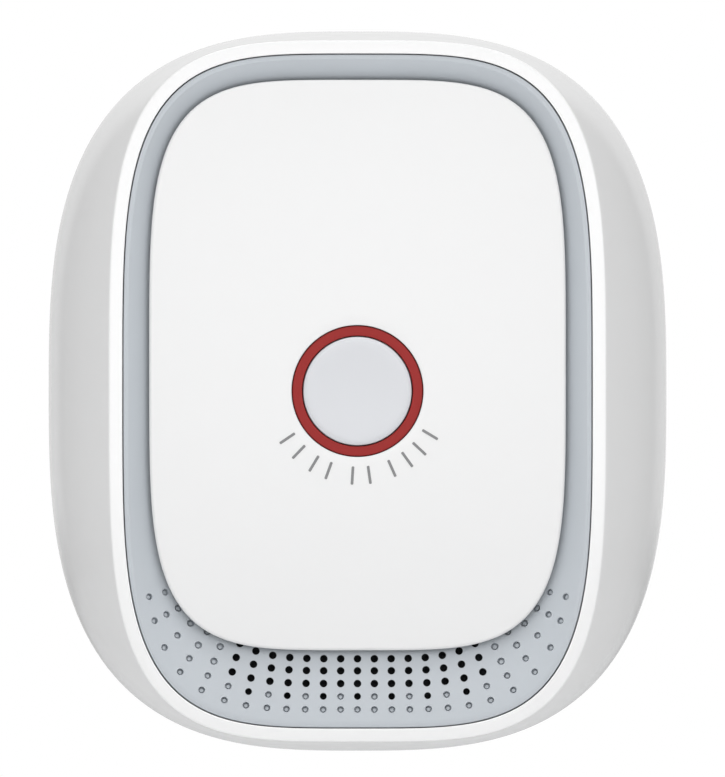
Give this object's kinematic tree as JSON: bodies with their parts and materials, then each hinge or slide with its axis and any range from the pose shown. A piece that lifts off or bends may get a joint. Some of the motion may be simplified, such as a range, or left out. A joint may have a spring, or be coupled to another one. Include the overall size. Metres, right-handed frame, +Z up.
{
  "type": "carbon monoxide detector",
  "caption": "White plug-in carbon monoxide detector with a rounded face panel, a round test button in a red light ring, a dished grey bezel and a drilled sound grille.",
  "frame": {"origin": "centre of the flat back face, on the wall plane", "axes": "+Z up, +Y into the wall along the plug blades, face looks along -Y, +X to the viewer's right"},
  "size_m": [0.0684, 0.0487, 0.0796],
  "materials": {
    "white_casing": "smooth gloss white moulding",
    "panel_white": "smooth satin-gloss white",
    "bezel_grey": "fine satin pale grey",
    "button_grey": "satin light grey",
    "ring_red": "translucent red",
    "dark_plastic": "matte black",
    "circuit_board": "green solder mask",
    "zinc_steel": "zinc plated",
    "blade_brass": "bright rolled strip",
    "nickel": "nickel plated can",
    "ferrite": "matte dark grey",
    "transformer_tape": "yellow winding tape",
    "black_foam": "closed-cell foam",
    "capacitor_yellow": "moulded yellow case",
    "varistor_blue": "blue epoxy coat",
    "fuse_ceramic": "off-white body",
    "led_clear": "clear resin",
    "label_paper": "blank matt label"
  },
  "bodies": {
    "casing": {"blade_holder": "dark_plastic", "board_header": "dark_plastic", "board_screw_1": "zinc_steel", "board_screw_2": "zinc_steel", "board_screw_3": "zinc_steel", "board_screw_4": "zinc_steel", "bridge_rectifier": "dark_plastic", "bulk_capacitor_1": "dark_plastic", "bulk_capacitor_2": "dark_plastic", "button_spring": "zinc_steel", "dust_mesh": "dark_plastic", "front_housing": "white_casing", "front_panel": "panel_white", "fuse": "fuse_ceramic", "housing_screw_1": "zinc_steel", "housing_screw_2": "zinc_steel", "housing_screw_3": "zinc_steel", "housing_screw_4": "zinc_steel", "main_board": "circuit_board", "microcontroller": "dark_plastic", "plug_blade_left": "blade_brass", "plug_blade_right": "blade_brass", "power_board": "circuit_board", "power_board_screw_1": "zinc_steel", "power_board_screw_2": "zinc_steel", "rating_label": "label_paper", "rear_cover": "white_casing", "sensor_cell": "nickel", "sensor_filter_cap": "dark_plastic", "sound_bezel": "bezel_grey", "sounder_case": "dark_plastic", "sounder_disc": "blade_brass", "sounder_gasket": "black_foam", "status_led_1": "led_clear", "status_led_2": "led_clear", "status_led_3": "led_clear", "status_led_4": "led_clear", "status_light_ring": "ring_red", "tact_switch_body": "dark_plastic", "transformer_bobbin": "transformer_tape", "transformer_core": "ferrite", "varistor": "varistor_blue", "x_capacitor": "capacitor_yellow"},
    "button": {"test_button": "button_grey"},
    "switch_stem": {"tact_switch_stem": "dark_plastic"}
  },
  "joints": [
    {"name": "test_button_press", "type": "slide", "parent": "casing", "child": "button", "axis": [0, 1, 0], "range_m": [0, 0.0008], "stiffness_N_per_m": 250, "springref_m": -0.002, "deforming": ["button_spring"]},
    {"name": "switch_stem_press", "type": "slide", "parent": "casing", "child": "switch_stem", "axis": [0, 1, 0], "range_m": [0, 0.0005]}
  ],
  "couplings": [
    {"joint": "switch_stem_press", "follows": "test_button_press", "ratio": 0.625}
  ]
}
